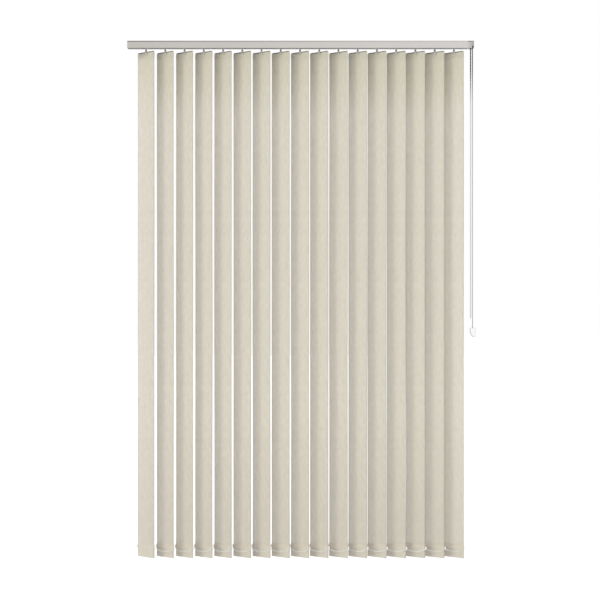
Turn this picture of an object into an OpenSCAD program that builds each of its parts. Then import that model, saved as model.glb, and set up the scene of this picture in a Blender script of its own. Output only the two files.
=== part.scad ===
// Vertical blind: fabric vanes on carriers in a headrail, turned by a bead chain and drawn by a cord.
// The origin is on the ceiling at the middle clip's screw hole, x runs along the rail, -y faces the room.

/* [Blind] */
// Number of vanes
vane_count = 17; // [9:1:21]
// Stem spacing with the blind drawn out
vane_pitch = 78; // [74:0.5:82]
// First stem to the return end of the headrail
return_margin = 75; // [74:1:100]
// Last stem to the control end of the headrail
control_margin = 79; // [78:1:100]
// Turn of the vanes from the closed plane, in degrees
rest_tilt = 35; // [20:1:90]
// Ceiling to the bottom edge of the vanes
drop = 2090; // [1600:1:2600]

/* [Headrail] */
// Front to back
rail_depth = 44; // [43.6:0.1:45]
// Top to underside
rail_height = 26; // [26:0.1:27]
// Lip below the underside, along the front
rail_skirt = 4.6; // [3:0.1:6]
// Wall thickness
rail_wall = 1.4; // [1.2:0.1:1.5]
// Radius of the long outer edges
rail_corner = 2; // [1:0.1:2.5]
// Depth of the clip channel along the top
channel_depth = 3.6; // [3.2:0.1:3.6]
// Opening of the clip channel
channel_opening = 22; // [21.5:0.1:23]
// Floor between the clip channel and the carriers
rail_web = 1.2; // [1:0.1:1.2]
// Slot that the stems hang through
slot_width = 12; // [12:0.1:13]
// Depth of the recess along each face, beside the clip channel
recess_depth = 1; // [0.6:0.1:1.2]

/* [Ceiling clips] */
// Clip's plate above the rail
clip_rise = 0.6; // [0.5:0.1:1]
// Length along the rail
clip_length = 36; // [24:1:50]
// Steel thickness
clip_sheet = 1.2; // [1:0.1:1.3]
// Outer width of the raised plate
clip_width = 20.4; // [19:0.1:20.8]
// Width across the flanges under the rail's lips
clip_flange = 32; // [28:0.5:36]
// Radius of the screw hole
clip_hole = 2.3; // [2:0.1:3]
// Outer clips from the middle, as a share of the rail
clip_share = 0.36; // [0.3:0.01:0.42]

/* [Carriers] */
// Length along the rail
carrier_length = 15; // [15:0.1:15.4]
// Gap between the housing and the rail above and beside it
carrier_gap = 0.5; // [0.3:0.05:0.6]
// Height of the gliding shoes
shoe_height = 3; // [2.5:0.1:3.5]
// Radius of the worm housing
worm_housing = 7; // [6.6:0.1:7.2]
// Running clearance of every turning fit
running_gap = 0.1; // [0.08:0.01:0.15]
// Radius of the grub screw in the lead carrier
grub_radius = 1.2; // [1:0.1:1.4]

/* [Spacer strips] */
// Strip thickness
strip_sheet = 0.3; // [0.2:0.02:0.32]
// Strip width
strip_width = 7; // [6:0.1:7.4]
// Height of one of the nesting levels
strip_level = 0.48; // [0.46:0.01:0.5]
// Number of nesting levels
strip_levels = 7; // [7:1:7]
// Width of the stop at the strip's end
stop_width = 10; // [9.4:0.1:10]
// Length of the stop
stop_length = 3; // [2:0.1:3]
// Width across the tabs that anchor the strip
tab_width = 12; // [11.6:0.1:12.4]
// Length of the tabs
tab_length = 2.6; // [2:0.1:3]
// Play around a strip in its window
strip_play = 0.2; // [0.15:0.01:0.25]

/* [Stems] */
// Radius of the worm wheel
wheel_radius = 5; // [4.6:0.1:5]
// Height of the worm wheel
wheel_height = 5.6; // [5:0.1:5.6]
// Number of teeth
wheel_teeth = 10; // [10:1:12]
// Radius of the gap between two teeth
tooth_gap = 0.8; // [0.6:0.05:0.9]
// Radius of the journal in the carrier
journal_radius = 3.5; // [3:0.1:3.8]
// Radius of the neck below the rail
neck_radius = 2.6; // [2.2:0.1:3]
// Width of the hook
hook_width = 8; // [7:0.1:8.4]
// Thickness of the hook
hook_sheet = 3; // [2.8:0.1:3]
// Length of the two prongs
prong_length = 10; // [9.5:0.1:11]
// Top of the hook above the vane
hook_rise = 9; // [7:0.1:10]
// Radius of the barb that holds the hanger
barb_radius = 1.6; // [1.2:0.1:1.7]

/* [Vanes] */
// Vane width
vane_width = 89; // [86:0.5:90]
// Ceiling to the top edge of the vanes
vane_top = 42; // [41.5:0.5:60]
// Fabric thickness
fabric = 0.45; // [0.3:0.05:0.5]
// Height of the top pocket
top_pocket = 24; // [24:0.5:34]
// Height of the bottom pocket, up to its weld line
bottom_pocket = 52; // [48:0.5:64]
// Height over which a pocket closes to the single layer
pocket_taper = 3; // [2:0.5:6]
// Play of hanger and weight in their pockets
pocket_play = 0.05; // [0.04:0.01:0.06]
// Width of the notch cut for the hook
notch_width = 12; // [10:0.1:14]
// Depth of the notch cut for the hook
notch_depth = 12; // [11:0.1:12.5]

/* [Hangers and weights] */
// Width of the hanger
hanger_width = 84; // [70:0.5:85]
// Height of the hanger
hanger_height = 21; // [18:0.5:23]
// Thickness of the hanger
hanger_sheet = 1; // [0.9:0.05:1]
// Height of the hanger's head, above the fabric
head_height = 3.4; // [2.5:0.1:4]
// Thickness of the hanger's head
head_sheet = 2.4; // [2.2:0.1:2.6]
// Corner radius of hanger and weight
plate_corner = 2.5; // [1.5:0.1:4]
// Bridge above the hanger's window
bridge_height = 5; // [4.4:0.1:5.4]
// Width of the hanger's window
window_width = 9; // [8.6:0.1:11]
// Height of the hanger's window
window_height = 5; // [4.6:0.1:6]
// Width of the weight
weight_width = 84; // [76:0.5:85]
// Height of the weight
weight_height = 40; // [34:0.5:44]
// Thickness of the weight
weight_sheet = 1.2; // [1:0.05:1.2]
// Height of the arm that carries a chain pin
arm_height = 3; // [2:0.1:4]
// Top of the weight down to the arm
arm_drop = 4; // [3:0.5:8]
// Chain pin beyond the vane's edge
pin_reach = 3.6; // [3.4:0.1:4.4]
// Radius of the chain pin
pin_radius = 1.2; // [1:0.05:1.3]
// Length of the chain pin between its arm and its bulb
pin_length = 2.5; // [2.4:0.1:3]
// Radius of the bulb on the chain pin
bulb_radius = 2.8; // [2.4:0.05:3]
// Height of the bulb
bulb_height = 9; // [6.2:0.1:10]

/* [Bottom chains] */
// Radius of a bead
small_bead = 1.3; // [1:0.05:1.4]
// Radius of the thread
small_thread = 0.5; // [0.4:0.05:0.6]
// Links between two vanes
swag_links = 13; // [10:1:14]
// Sag between two vanes
swag_sag = 9.5; // [5:0.5:14]
// Outer radius of an eyelet
eyelet_radius = 2.7; // [2.3:0.05:2.8]
// Height of an eyelet
eyelet_height = 2.2; // [1.6:0.05:2.3]
// Gap under an eyelet
eyelet_gap = 0.06; // [0.04:0.01:0.1]

/* [Tilt drive] */
// Rod's distance behind the stems
rod_back = 9.5; // [9.4:0.05:9.6]
// Ceiling to the rod
rod_drop = 15.5; // [15.4:0.05:15.6]
// Rod radius
rod_radius = 3; // [2.8:0.05:3]
// Radius of the rod's flutes
flute_radius = 0.8; // [0.6:0.05:1]
// Number of flutes
flute_count = 3; // [3:1:5]
// Beads round the sprocket
sprocket_beads = 7; // [7:1:7]
// Sprocket radius
sprocket_radius = 7.2; // [7:0.05:7.2]
// Sprocket thickness
sprocket_width = 7; // [6.4:0.1:7]
// Sprocket's middle from the end of the headrail
sprocket_inset = 10; // [9.9:0.1:10.4]
// Radius of the control chain's beads
chain_bead = 2.25; // [2:0.05:2.3]
// Play of a bead in the sprocket's pocket
bead_play = 0.3; // [0.3:0.02:0.34]
// Radius of the control chain's thread
chain_thread = 0.7; // [0.5:0.05:0.8]
// Bead spacing
chain_pitch = 6; // [5.8:0.1:6]
// Beads down the front of the control loop
chain_drop_beads = 183; // [100:1:240]

/* [Draw cord] */
// Cord radius
cord_radius = 1.25; // [1.1:0.05:1.3]
// Front strand in front of the stems
cord_front = 16; // [15.9:0.05:16]
// Rear strand in front of the stems
cord_rear = 9; // [9:0.05:9.1]
// Ceiling to the strands in the rail
cord_drop = 13.5; // [13.4:0.05:13.6]
// Hanging strands from the end of the headrail
cord_inset = 5.4; // [5.3:0.05:5.5]
// Pitch radius of the two turning pulleys
pulley_pitch = 4; // [3.9:0.05:4]
// Rim above the cord's middle
pulley_rim = 1.2; // [1:0.05:1.2]
// Pulley thickness
pulley_width = 4; // [3.6:0.1:4.2]
// Radius of the pulley axles
axle_radius = 1.5; // [1.3:0.05:1.6]
// Ceiling to the top of the cord weight
weight_drop = 1160; // [700:1:1500]

/* [Cord weight] */
// Width at the top
cord_weight_width = 21; // [20:0.1:24]
// Width at the bottom
cord_weight_foot = 9; // [8:0.1:10]
// Height
cord_weight_height = 37; // [34:0.5:44]
// Front to back
cord_weight_depth = 16; // [14:0.1:18]
// Straight part of the slanting side
cord_weight_shoulder = 9; // [6:0.5:12]
// Corner radius
cord_weight_corner = 1.5; // [1:0.1:2]
// Width of the slot for the cord
cord_slot = 4; // [3.4:0.1:4.4]
// Top of the weight down to its cord pin
cord_pin_drop = 9; // [8:0.1:10]
// Length of the cord pin
cord_pin_length = 10; // [9:0.1:12]

/* [End caps] */
// Visible length of the control end cap
control_cap_length = 26; // [26:0.1:28]
// Visible length of the return end cap
return_cap_length = 16; // [16:0.1:18]
// Wall thickness of the caps
cap_wall = 2; // [1.8:0.1:2]
// Radius of the caps' upright outer edges
cap_corner = 6; // [4:0.1:6]
// Radius of the control cap's edges above and below its end
control_nose = 1.6; // [1:0.1:3]
// Radius of the return cap's edges above and below its end
return_nose = 4; // [2:0.1:5]
// Length of the spigot in the rail
spigot_length = 12; // [10:0.5:12]
// Wall of the spigot
spigot_wall = 1.5; // [1.3:0.1:1.5]
// Play of the spigot in the rail
spigot_play = 0.1; // [0.08:0.01:0.12]
// Spigot's reach back into its cap
spigot_root = 4; // [3:0.5:5]
// Radius of a bearing boss
boss_radius = 5; // [4.6:0.1:5.2]
// Length of a bearing boss
boss_length = 4.2; // [4:0.1:4.2]
// Thickness of the partition walls
partition = 1.5; // [1.2:0.1:1.6]
// Partition's distance in front of the stems
partition_front = 4; // [3.6:0.1:4.4]
// Bearing wall from the cap's inner end
bearing_inset = 2; // [1.5:0.1:3]
// Rod's end from the end of the headrail
rod_inset = 4; // [3.6:0.1:4.4]
// Axle's seat in a cap wall
axle_seat = 1; // [0.8:0.05:1.2]
// Width of the cord opening
cord_opening = 5; // [4.4:0.1:5.4]
// Height of the cord opening up the cap's front
cord_opening_height = 6; // [4:0.1:6.4]
// Return pulley's axle from the end of the headrail
return_inset = 9; // [8.6:0.1:9.4]

/* [Colours] */
// Fabric
fabric_colour = [0.86, 0.83, 0.76];
// Painted rail
rail_colour = [0.80, 0.78, 0.77];
// Moulded plastic
plastic_colour = [0.88, 0.88, 0.87];
// Bright steel
steel_colour = [0.66, 0.67, 0.69];
// Cords and chains
cord_colour = [0.82, 0.82, 0.82];

/* [Hidden] */
$fn = 48;
rail_start = stem_x(1) - return_margin;
rail_end = stem_x(vane_count) + control_margin;
rail_length = rail_end - rail_start;
rail_top = -clip_rise;
rail_bottom = rail_top - rail_height;
skirt_bottom = rail_bottom - rail_skirt;
lip_under = rail_top - rail_wall;
channel_floor = lip_under - channel_depth;
roof_z = channel_floor - rail_web;
floor_z = rail_bottom + rail_wall;
inside_y = rail_depth / 2 - rail_wall;

carrier_top = roof_z - carrier_gap;
carrier_side = inside_y - carrier_gap;
wheel_top = -rod_drop + wheel_height / 2;
wheel_bottom = -rod_drop - wheel_height / 2;
window_floor = wheel_top + 2 * strip_play + strip_level;

vane_bottom = -drop;
hook_top = -vane_top + hook_rise;
prong_top = -vane_top;
hanger_top = prong_top - pocket_play;
fabric_top = hanger_top - head_height - pocket_play;
bridge_bottom = hanger_top - bridge_height;
weight_bottom = vane_bottom + fabric + pocket_play;
weight_top = weight_bottom + weight_height;
arm_top = weight_top - arm_drop;
pin_x = vane_width / 2 + pin_reach;

rod_z = -rod_drop;
bead_step = 360 / sprocket_beads;
chain_radius = chain_pitch / 2 / sin(bead_step / 2);
chain_x = rail_end - sprocket_inset;
chain_foot = rod_z - chain_drop_beads * chain_pitch;
pocket_radius = chain_bead + bead_play;
thread_radius = chain_radius * cos(bead_step / 2) - chain_thread - running_gap;

cord_x = rail_end - cord_inset;
cord_z = -cord_drop;
cord_middle = (cord_front + cord_rear) / 2;
loop_radius = (cord_front - cord_rear) / 2;
turn_x = cord_x - pulley_pitch;
turn_z = cord_z - pulley_pitch;
return_x = rail_start + return_inset;
join_z = rail_bottom - rail_wall;
weight_top_z = -weight_drop;
cord_pin_z = weight_top_z - cord_pin_drop;
cord_pin_radius = loop_radius - cord_radius;

cap_floor = rail_bottom + cap_wall;
cap_roof = rail_top - cap_wall;
cap_side = rail_depth / 2 - cap_wall;

function number(i) = str(i < 10 ? "0" : "", i);
function stem_x(i) = (i - (vane_count + 1) / 2) * vane_pitch;
function level_z(i) = window_floor + (i % strip_levels) * strip_level;
function pin_at(i, side) =
    [stem_x(i) + side * pin_x * cos(rest_tilt), -side * pin_x * sin(rest_tilt)];
function on_sprocket(angle, z) =
    [chain_x, rod_back + chain_radius * cos(angle), z + chain_radius * sin(angle)];

// Draws a profile of (y, z) points along x.
module along_x(from, to) {
    translate([from, 0, 0]) rotate([90, 0, 90]) linear_extrude(to - from) children();
}

// Draws a profile of (x, z) points as a plate whose middle is at y = 0.
module plate(thickness) {
    rotate([90, 0, 0]) linear_extrude(thickness, center = true) children();
}

module rounded(width, height, radius) {
    square([width - 2 * radius, height], center = true);
    square([width, height - 2 * radius], center = true);
    for (x = [-1, 1], y = [-1, 1])
        translate([x * (width / 2 - radius), y * (height / 2 - radius)]) circle(radius);
}

// A rectangle between two heights, centred on the other axis.
module band(width, low, high) {
    translate([-width / 2, low]) square([width, high - low]);
}

// A thread between two beads' middles, cut short inside them.
module thread_between(a, b, radius, from, to) {
    d = b - a;
    translate(a) rotate([0, acos(d.z / norm(d)), atan2(d.y, d.x)])
        translate([0, 0, from]) cylinder(norm(d) - from - to, r = radius);
}

module rail_outline() {
    difference() {
        translate([0, (rail_top + skirt_bottom) / 2])
            rounded(rail_depth, rail_top - skirt_bottom, rail_corner);
        for (side = [-1, 1])
            translate([side * rail_depth / 2, 0]) band(2 * recess_depth, channel_floor, lip_under);
    }
}

// The room under the rail behind its front lip, from a distance in front of the stems.
module behind_lip(front) {
    translate([-front, skirt_bottom - rail_wall])
        square([front + rail_depth, rail_bottom - skirt_bottom + rail_wall]);
}

module rail_section() {
    difference() {
        rail_outline();
        behind_lip(inside_y);
        band(2 * (inside_y - recess_depth), channel_floor, lip_under);
        band(channel_opening, channel_floor, rail_top + rail_wall);
        band(2 * inside_y, floor_z, roof_z);
        band(slot_width, rail_bottom - rail_wall, roof_z);
    }
}

module headrail() {
    color(rail_colour)
        along_x(rail_start + return_cap_length, rail_end - control_cap_length) rail_section();
}

module clip_section() {
    band(clip_width, -clip_sheet, 0);
    for (side = [-1, 1]) {
        translate([side * (clip_width - clip_sheet) / 2, 0])
            band(clip_sheet, lip_under - clip_sheet, 0);
        translate([side * (clip_flange + clip_width - 2 * clip_sheet) / 4, 0])
            band((clip_flange - clip_width) / 2 + clip_sheet, lip_under - clip_sheet, lip_under);
    }
}

module mounting_clips() {
    color(steel_colour)
        for (side = [-1, 0, 1])
            translate([side * clip_share * rail_length, 0, 0]) difference() {
                along_x(-clip_length / 2, clip_length / 2) clip_section();
                translate([0, 0, -2 * clip_sheet]) cylinder(4 * clip_sheet, r = clip_hole);
            }
}

// A cap drawn from its outer end, at x = 0, towards the rail at positive x.
module cap_shell(length, nose) {
    height = rail_top - skirt_bottom;
    difference() {
        intersection() {
            along_x(0, length) rail_outline();
            plate(2 * rail_depth) {
                translate([nose, skirt_bottom]) square([length - nose, height]);
                translate([0, skirt_bottom + nose]) square([length, height - 2 * nose]);
                for (z = [skirt_bottom + nose, rail_top - nose]) translate([nose, z]) circle(nose);
            }
            translate([0, 0, skirt_bottom]) linear_extrude(height) {
                translate([cap_corner, -rail_depth / 2]) square([length - cap_corner, rail_depth]);
                translate([0, cap_corner - rail_depth / 2])
                    square([length, rail_depth - 2 * cap_corner]);
                for (side = [-1, 1])
                    translate([cap_corner, side * (rail_depth / 2 - cap_corner)]) circle(cap_corner);
            }
        }
        along_x(cap_wall, length + cap_wall) {
            band(2 * cap_side, cap_floor, cap_roof);
            behind_lip(cap_side);
        }
        along_x(-cap_wall, length) behind_lip(rail_depth / 2 - cap_corner);
    }
    difference() {
        along_x(length - spigot_root, length + spigot_length)
            band(2 * (inside_y - spigot_play), floor_z + spigot_play, roof_z - spigot_play);
        along_x(length - 2 * spigot_root, length + 2 * spigot_length)
            band(2 * (inside_y - spigot_play - spigot_wall),
                floor_z + spigot_play + spigot_wall, roof_z - spigot_play - spigot_wall);
    }
}

module control_end_cap() {
    color(plastic_colour) translate([rail_end, 0, 0]) mirror([1, 0, 0]) difference() {
        union() {
            cap_shell(control_cap_length, control_nose);
            along_x(cap_wall / 2, control_cap_length)
                translate([-partition_front - partition / 2, 0])
                    band(partition, cap_floor - cap_wall / 2, cap_roof + cap_wall / 2);
            along_x(control_cap_length - bearing_inset - partition, control_cap_length - bearing_inset)
                translate([(cap_side - partition_front) / 2, 0])
                    band(cap_side + partition_front + cap_wall,
                        cap_floor - cap_wall / 2, cap_roof + cap_wall / 2);
            along_x(cap_wall / 2, cap_wall + boss_length)
                translate([rod_back, rod_z]) circle(boss_radius);
            translate([control_cap_length + spigot_length / 2, 0, 0])
                along_x(0, spigot_length / 2)
                    band(strip_width, level_z(vane_count + 1) + strip_sheet, roof_z - spigot_wall / 2);
        }
        along_x(cap_wall, control_cap_length)
            translate([rod_back, rod_z]) circle(rod_radius + running_gap);
        translate([cord_inset + pulley_pitch, axle_seat - rail_depth / 2, turn_z]) rotate([-90, 0, 0])
            cylinder(rail_depth / 2 - axle_seat, r = axle_radius);
        translate([sprocket_inset - pocket_radius - chain_thread, 0, rail_bottom - cap_wall])
            linear_extrude(2 * cap_wall)
                translate([0, rod_back - chain_radius - pocket_radius])
                    square([2 * (pocket_radius + chain_thread), 2 * (chain_radius + pocket_radius)]);
        translate([cord_inset - cord_opening / 2, -rail_depth, skirt_bottom - cap_wall])
            cube([
                cord_opening,
                rail_depth - cord_rear + 2 * cord_radius,
                cap_wall + rail_skirt + cord_opening_height
            ]);
    }
}

module return_end_cap() {
    color(plastic_colour) translate([rail_start, 0, 0]) difference() {
        union() {
            cap_shell(return_cap_length, return_nose);
            along_x(cap_wall / 2, cap_wall + boss_length)
                translate([rod_back, rod_z]) circle(boss_radius + partition);
        }
        along_x(cap_wall, cap_wall + 2 * boss_length) translate([rod_back, rod_z]) circle(boss_radius);
        translate([return_inset, -cord_middle, cap_floor - axle_seat])
            cylinder(cap_roof - cap_floor + 2 * axle_seat, r = axle_radius);
    }
}

module rod_bush() {
    color(plastic_colour)
        along_x(rail_start + cap_wall, rail_start + cap_wall + boss_length + partition)
            translate([rod_back, rod_z]) difference() {
                circle(boss_radius);
                circle(rod_radius + running_gap);
            }
}

module tilt_rod() {
    color(steel_colour)
        along_x(rail_start + rod_inset, rail_end - rod_inset)
            translate([rod_back, rod_z]) difference() {
                circle(rod_radius);
                for (k = [1:flute_count])
                    rotate(k * 360 / flute_count) translate([rod_radius, 0]) circle(flute_radius);
            }
}

module chain_sprocket() {
    color(plastic_colour) translate([chain_x, rod_back, rod_z]) rotate([0, 90, 0]) difference() {
        rotate_extrude() difference() {
            translate([rod_radius, -sprocket_width / 2])
                square([sprocket_radius - rod_radius, sprocket_width]);
            translate([thread_radius, -chain_thread - running_gap])
                square([sprocket_radius, 2 * (chain_thread + running_gap)]);
        }
        for (k = [1:sprocket_beads])
            rotate(90 + k * bead_step) translate([chain_radius, 0, 0])
                cylinder(2 * pocket_radius, r = pocket_radius, center = true);
    }
}

// A straight strand of beads hanging down from the first bead's middle.
module bead_strand(beads) {
    length = (beads - 1) * chain_pitch;
    rotate_extrude() intersection() {
        union() {
            band(2 * chain_thread, -length, 0);
            for (k = [0:beads - 1]) translate([0, -k * chain_pitch]) circle(chain_bead);
        }
        translate([0, -length - chain_pitch]) square([chain_pitch, length + 2 * chain_pitch]);
    }
}

module bead_turn(points) {
    for (k = [1:len(points) - 1])
        thread_between(points[k - 1], points[k], chain_thread, chain_bead / 2, chain_bead / 2);
    for (k = [1:len(points) - 2]) translate(points[k]) sphere(chain_bead);
}

module control_chain() {
    rear = on_sprocket(0, rod_z);
    front = on_sprocket(180, rod_z - chain_pitch / 2);
    beads = [1:floor(sprocket_beads / 2)];
    color(cord_colour) {
        translate(rear) bead_strand(chain_drop_beads + 1);
        translate(front) bead_strand(chain_drop_beads);
        bead_turn(concat([rear], [for (k = beads) on_sprocket(k * bead_step, rod_z)], [front]));
        bead_turn(concat(
            [on_sprocket(0, chain_foot)],
            [for (k = beads) on_sprocket(-k * bead_step, chain_foot)],
            [on_sprocket(180, chain_foot + chain_pitch / 2)]
        ));
    }
}

module rail_cord() {
    color(cord_colour) {
        for (y = [-cord_front, -cord_rear]) {
            along_x(return_x, turn_x) translate([y, cord_z]) circle(cord_radius);
            translate([turn_x, y, turn_z]) rotate([90, 0, 0])
                rotate_extrude(angle = 90) translate([pulley_pitch, 0]) circle(cord_radius);
            translate([cord_x, y, join_z]) cylinder(turn_z - join_z, r = cord_radius);
        }
        translate([return_x, -cord_middle, cord_z]) rotate(90)
            rotate_extrude(angle = 180) translate([loop_radius, 0]) circle(cord_radius);
    }
}

module draw_cord() {
    color(cord_colour) {
        for (y = [-cord_front, -cord_rear])
            translate([cord_x, y, cord_pin_z]) cylinder(join_z - cord_pin_z, r = cord_radius);
        translate([cord_x, -cord_middle, cord_pin_z]) rotate([90, 0, 90]) rotate(180)
            rotate_extrude(angle = 180) translate([loop_radius, 0]) circle(cord_radius);
    }
}

// The weight's outline: upright on the right, and drawn in along a curve on the left.
module cord_weight_outline() {
    lean = cord_weight_width - cord_weight_foot;
    fall = cord_weight_height - cord_weight_shoulder;
    bow = (lean * lean + fall * fall) / (2 * lean);
    intersection() {
        translate([0, -cord_weight_height / 2])
            rounded(cord_weight_width, cord_weight_height, cord_weight_corner);
        union() {
            translate([bow - cord_weight_width / 2, -cord_weight_shoulder]) circle(bow);
            translate([-cord_weight_width / 2, -cord_weight_shoulder])
                square([cord_weight_width, cord_weight_shoulder]);
        }
    }
}

module cord_weight() {
    color(plastic_colour) translate([cord_x, -cord_middle, weight_top_z]) difference() {
        plate(cord_weight_depth) cord_weight_outline();
        translate([0, 0, -cord_pin_drop]) {
            along_x(-cord_slot / 2, cord_slot / 2) {
                circle(loop_radius + 2 * cord_radius);
                band(2 * (loop_radius + 2 * cord_radius), 0, 2 * cord_pin_drop);
            }
            along_x(-cord_pin_length / 2, cord_pin_length / 2) circle(cord_pin_radius);
        }
    }
}

module cord_weight_pin() {
    color(steel_colour) translate([cord_x, -cord_middle, cord_pin_z])
        along_x(-cord_pin_length / 2, cord_pin_length / 2) circle(cord_pin_radius);
}

module pulley(pitch_radius) {
    rotate_extrude() difference() {
        translate([axle_radius + running_gap, -pulley_width / 2])
            square([pitch_radius + pulley_rim - axle_radius - running_gap, pulley_width]);
        translate([pitch_radius, 0]) circle(cord_radius + running_gap);
        translate([pitch_radius, -cord_radius - running_gap])
            square([pitch_radius, 2 * (cord_radius + running_gap)]);
    }
}

module cord_pulley(front) {
    color(plastic_colour) translate([turn_x, -front, turn_z]) rotate([90, 0, 0]) pulley(pulley_pitch);
}

module cord_pulley_axle() {
    color(steel_colour) translate([turn_x, axle_seat - rail_depth / 2, turn_z]) rotate([-90, 0, 0])
        cylinder(rail_depth / 2 - axle_seat - partition_front, r = axle_radius);
}

module return_pulley() {
    color(plastic_colour) translate([return_x, -cord_middle, cord_z]) pulley(loop_radius);
}

module return_pulley_axle() {
    color(steel_colour) translate([return_x, -cord_middle, cap_floor - axle_seat])
        cylinder(cap_roof - cap_floor + 2 * axle_seat, r = axle_radius);
}

// A spacer strip from its tabs to the stop beyond the next carrier, in the plane of x and y.
module strip_outline(tabs_x) {
    stop_x = -vane_pitch - carrier_length / 2 - strip_play;
    translate([stop_x - stop_length, -strip_width / 2])
        square([tabs_x + tab_length - stop_x + stop_length, strip_width]);
    translate([stop_x - stop_length, -stop_width / 2]) square([stop_length, stop_width]);
    translate([tabs_x, -tab_width / 2]) square([tab_length, tab_width]);
}

module strip_windows(i) {
    for (k = [1:strip_levels]) {
        wide = k == 1 ? strip_width : stop_width;
        low = level_z(i + k) - (strip_level - strip_sheet) / 2;
        translate([-carrier_length, -wide / 2 - strip_play, low])
            cube([2 * carrier_length, wide + 2 * strip_play, strip_level]);
    }
}

module carrier_section() {
    band(2 * carrier_side, floor_z, floor_z + shoe_height);
    translate([(rod_back - carrier_side) / 2, 0])
        band(rod_back + carrier_side, floor_z, carrier_top);
    translate([rod_back, rod_z]) circle(worm_housing);
    translate([rod_back, 0]) band(2 * worm_housing, floor_z, rod_z);
}

module carrier(i) {
    tabs_x = carrier_length / 2 - 2 * tab_length;
    translate([stem_x(i), 0, 0]) {
        color(plastic_colour) difference() {
            union() {
                along_x(-carrier_length / 2, carrier_length / 2) carrier_section();
                translate([0, 0, rail_bottom])
                    cylinder(rail_wall + shoe_height, r = slot_width / 2 - carrier_gap);
            }
            translate([0, 0, wheel_bottom])
                cylinder(wheel_height + strip_play, r = wheel_radius + strip_play);
            translate([0, 0, rail_bottom - rail_wall])
                cylinder(wheel_bottom - rail_bottom + 2 * rail_wall, r = journal_radius + running_gap);
            along_x(-carrier_length, carrier_length) {
                translate([rod_back, rod_z]) circle(rod_radius + 2 * running_gap);
                for (y = [-cord_front, -cord_rear])
                    translate([y, cord_z]) circle(cord_radius + strip_play);
            }
            strip_windows(i);
            if (i > 1)
                translate([tabs_x - running_gap, -tab_width / 2 - running_gap, level_z(i) - running_gap / 2])
                    cube([
                        tab_length + 2 * running_gap,
                        tab_width + 2 * running_gap,
                        strip_sheet + running_gap
                    ]);
            if (i == 1)
                translate([0, -cord_front, cord_z + cord_radius])
                    cylinder(carrier_top - cord_z, r = grub_radius);
        }
        if (i > 1)
            color(steel_colour) translate([0, 0, level_z(i)])
                linear_extrude(strip_sheet) strip_outline(tabs_x);
        if (i == 1)
            color(steel_colour) translate([0, -cord_front, cord_z + cord_radius])
                cylinder(carrier_top - cord_z - cord_radius, r = grub_radius);
    }
}

// The strip that ties the last carrier to the control end cap.
module anchor_link() {
    tabs_x = rail_end - control_cap_length - spigot_length / 2 - stem_x(vane_count + 1);
    color(steel_colour) translate([stem_x(vane_count + 1), 0, level_z(vane_count + 1)])
        linear_extrude(strip_sheet) strip_outline(tabs_x);
}

module stem() {
    difference() {
        translate([0, 0, wheel_bottom]) cylinder(wheel_height, r = wheel_radius);
        for (k = [1:wheel_teeth])
            rotate(k * 360 / wheel_teeth) translate([wheel_radius, 0, wheel_bottom - wheel_height])
                cylinder(3 * wheel_height, r = tooth_gap);
    }
    translate([0, 0, rail_bottom]) cylinder(wheel_bottom - rail_bottom, r = journal_radius);
    translate([0, 0, hook_top - hook_sheet])
        cylinder(rail_bottom - hook_top + hook_sheet, r = neck_radius);
    difference() {
        plate(hook_sheet)
            translate([0, (hook_top + prong_top - prong_length) / 2])
                rounded(hook_width, hook_top - prong_top + prong_length, plate_corner);
        plate(hanger_sheet + 2 * running_gap)
            band(2 * hook_width, prong_top - 2 * prong_length, prong_top);
    }
    translate([0, 0, bridge_bottom - barb_radius]) rotate([90, 0, 0])
        cylinder(hook_sheet, r = barb_radius, center = true);
}

module hanger_outline() {
    translate([0, hanger_top - hanger_height / 2]) rounded(hanger_width, hanger_height, plate_corner);
}

module hanger() {
    plate(hanger_sheet) difference() {
        hanger_outline();
        band(window_width, bridge_bottom - window_height, bridge_bottom);
    }
    plate(head_sheet) difference() {
        intersection() {
            hanger_outline();
            band(hanger_width, hanger_top - head_height, hanger_top);
        }
        band(notch_width, hanger_top - 2 * head_height, hanger_top + head_height);
    }
}

module bottom_weight() {
    plate(weight_sheet) {
        translate([0, (weight_top + weight_bottom) / 2])
            rounded(weight_width, weight_height, plate_corner);
        band(2 * pin_x, arm_top - arm_height, arm_top);
    }
    for (side = [-1, 1]) translate([side * pin_x, 0, 0]) {
        translate([0, 0, arm_top - arm_height])
            cylinder(arm_height + pin_length + bulb_radius, r = pin_radius);
        translate([0, 0, arm_top + pin_length]) rotate_extrude() intersection() {
            union() {
                band(2 * bulb_radius, bulb_radius, bulb_height - bulb_radius);
                for (z = [bulb_radius, bulb_height - bulb_radius]) translate([0, z]) circle(bulb_radius);
            }
            square([bulb_radius, bulb_height]);
        }
    }
}

// The fabric's section: one layer, with a pocket open to the hanger's head and a folded one at the bottom.
module fabric_section() {
    top_in = hanger_sheet / 2 + pocket_play;
    low_in = weight_sheet / 2 + pocket_play;
    half = [
        [top_in + fabric, fabric_top],
        [top_in + fabric, -vane_top - top_pocket],
        [fabric / 2, -vane_top - top_pocket - pocket_taper],
        [fabric / 2, vane_bottom + bottom_pocket + pocket_taper],
        [low_in + fabric, vane_bottom + bottom_pocket],
        [low_in + fabric, vane_bottom]
    ];
    difference() {
        polygon(concat(half, [for (k = [len(half) - 1:-1:0]) [-half[k].x, half[k].y]]));
        band(2 * top_in, -vane_top - top_pocket, -vane_top);
        band(2 * low_in, vane_bottom + fabric, vane_bottom + bottom_pocket);
    }
}

module fabric_vane() {
    difference() {
        along_x(-vane_width / 2, vane_width / 2) fabric_section();
        plate(2 * hook_sheet) band(notch_width, -vane_top - notch_depth, -vane_top + notch_depth);
    }
}

module vane(i) {
    translate([stem_x(i), 0, 0]) rotate(-rest_tilt) {
        color(fabric_colour) fabric_vane();
        color(plastic_colour) {
            stem();
            hanger();
            bottom_weight();
        }
    }
}

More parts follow.
